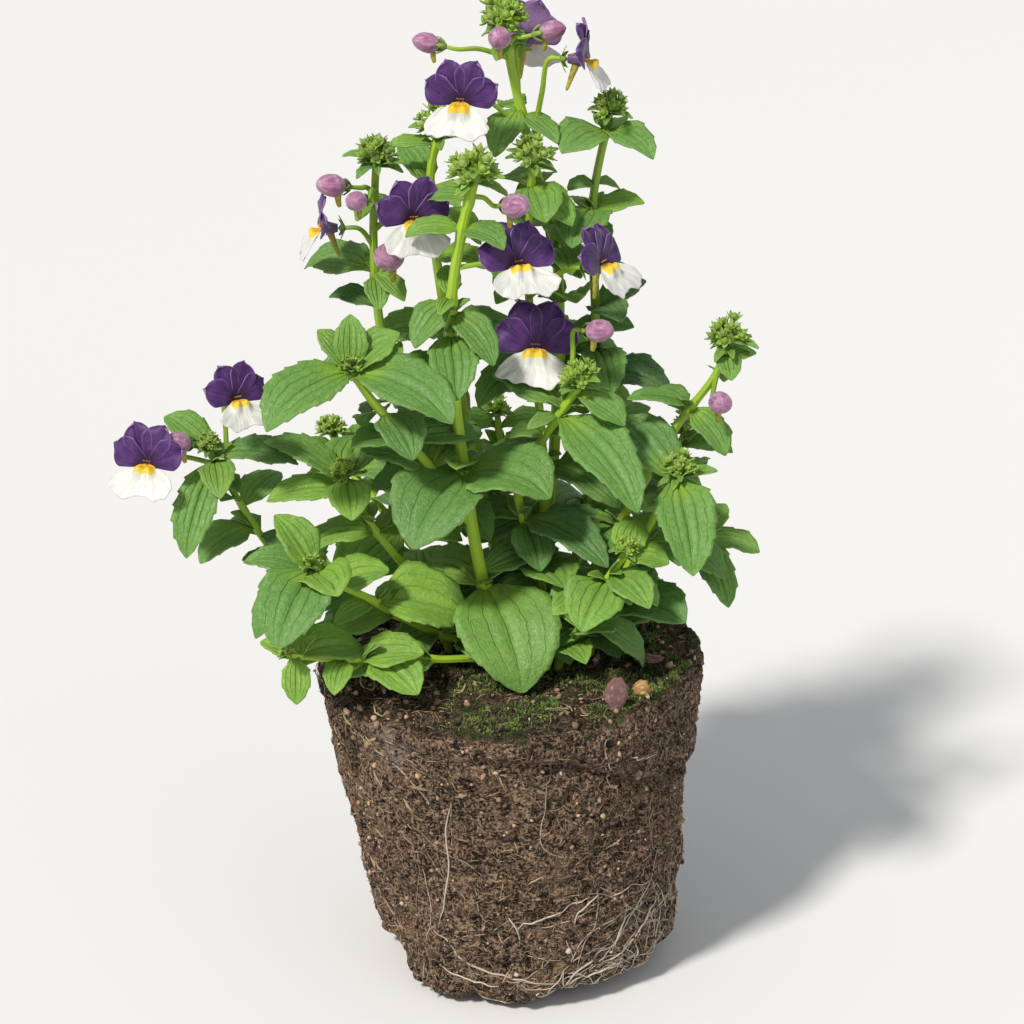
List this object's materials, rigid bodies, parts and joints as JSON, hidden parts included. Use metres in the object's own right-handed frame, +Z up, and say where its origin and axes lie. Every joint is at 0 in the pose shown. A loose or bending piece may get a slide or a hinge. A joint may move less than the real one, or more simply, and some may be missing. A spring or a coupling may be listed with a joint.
{
  "type": "nemesia plant with its root ball",
  "caption": "Bushy nemesia with toothed leaves, violet and white two-lipped blooms and pink buds, standing on the bare pot-shaped root ball that it was lifted from its pot with.",
  "frame": {"origin": "centre of the root ball's flat underside, where it stands", "axes": "+Z up along the plant, -Y towards the viewer of the picture, +X to the right"},
  "size_m": [0.161, 0.1231, 0.2498],
  "materials": {
    "soil": "crumbly fibrous peat with pale roots, moss on top",
    "leaf": "satin leaf green, lime at the stems",
    "petal_violet": "velvety deep violet",
    "petal_white": "soft white with a yellow palate",
    "bud_pink": "soft mauve pink",
    "bark": "rough reddish bark",
    "granule": "matt yellow granule"
  },
  "bodies": {
    "root": {"bark_chip_flat": "bark", "bark_chip_upright": "bark", "bloom_centre_lower": "petal_white", "bloom_centre_upper": "petal_violet", "bloom_far_left_lower": "petal_white", "bloom_far_left_upper": "petal_violet", "bloom_left_front_lower": "petal_white", "bloom_left_front_upper": "petal_violet", "bloom_left_side_lower": "petal_white", "bloom_left_side_upper": "petal_violet", "bloom_low_left_lower": "petal_white", "bloom_low_left_upper": "petal_violet", "bloom_middle_lower": "petal_white", "bloom_middle_upper": "petal_violet", "bloom_right_lower": "petal_white", "bloom_right_upper": "petal_violet", "bloom_tall_back_lower": "petal_white", "bloom_tall_back_upper": "petal_violet", "bloom_tall_left_lower": "petal_white", "bloom_tall_left_upper": "petal_violet", "bloom_tall_right_lower": "petal_white", "bloom_tall_right_upper": "petal_violet", "bud_centre": "bud_pink", "bud_left_inner": "bud_pink", "bud_left_outer": "bud_pink", "bud_left_pink": "bud_pink", "bud_low_left": "bud_pink", "bud_middle_right": "bud_pink", "bud_right": "bud_pink", "bud_top_front": "bud_pink", "bud_top_left": "bud_pink", "bud_top_right": "bud_pink", "fertiliser_granule": "granule", "root_ball": "soil", "stem_back_left": "leaf", "stem_centre": "leaf", "stem_far_left": "leaf", "stem_front": "leaf", "stem_front_right": "leaf", "stem_left": "leaf", "stem_left_front": "leaf", "stem_low_back": "leaf", "stem_low_back_left": "leaf", "stem_low_back_right": "leaf", "stem_low_left": "leaf", "stem_low_right": "leaf", "stem_middle": "leaf", "stem_right": "leaf", "stem_tall": "leaf", "stem_tall_left": "leaf", "stem_tall_right": "leaf"}
  },
  "joints": []
}
